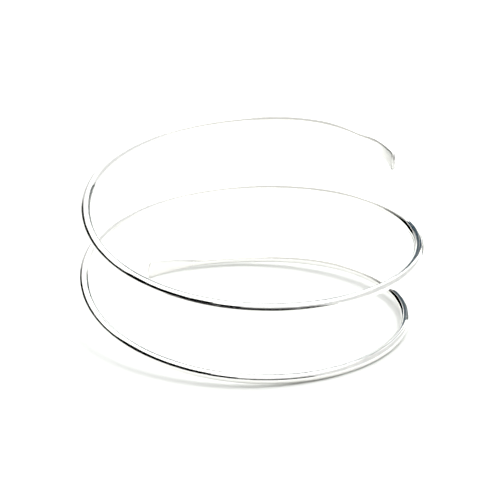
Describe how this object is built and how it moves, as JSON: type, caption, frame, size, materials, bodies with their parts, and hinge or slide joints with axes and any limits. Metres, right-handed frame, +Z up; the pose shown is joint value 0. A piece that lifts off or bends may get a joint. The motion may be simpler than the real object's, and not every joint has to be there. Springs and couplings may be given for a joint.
{
  "type": "spiral coil bracelet",
  "caption": "Polished silver bangle wound from one round wire as an open left-handed coil, with both ends hammered into small flared paddles; it springs over the hand onto the wrist.",
  "frame": {"origin": "bottom centre of the box around the bracelet as it rests on a table", "axes": "+Z up from the table, within 7 degrees of the coil's axis; +X to the right and +Y to the back as the picture shows it, so the camera looks along +Y"},
  "size_m": [0.0682, 0.0696, 0.0353],
  "materials": {
    "silver": "mirror-polished silver"
  },
  "bodies": {
    "root": {"coil": "silver"}
  },
  "joints": []
}
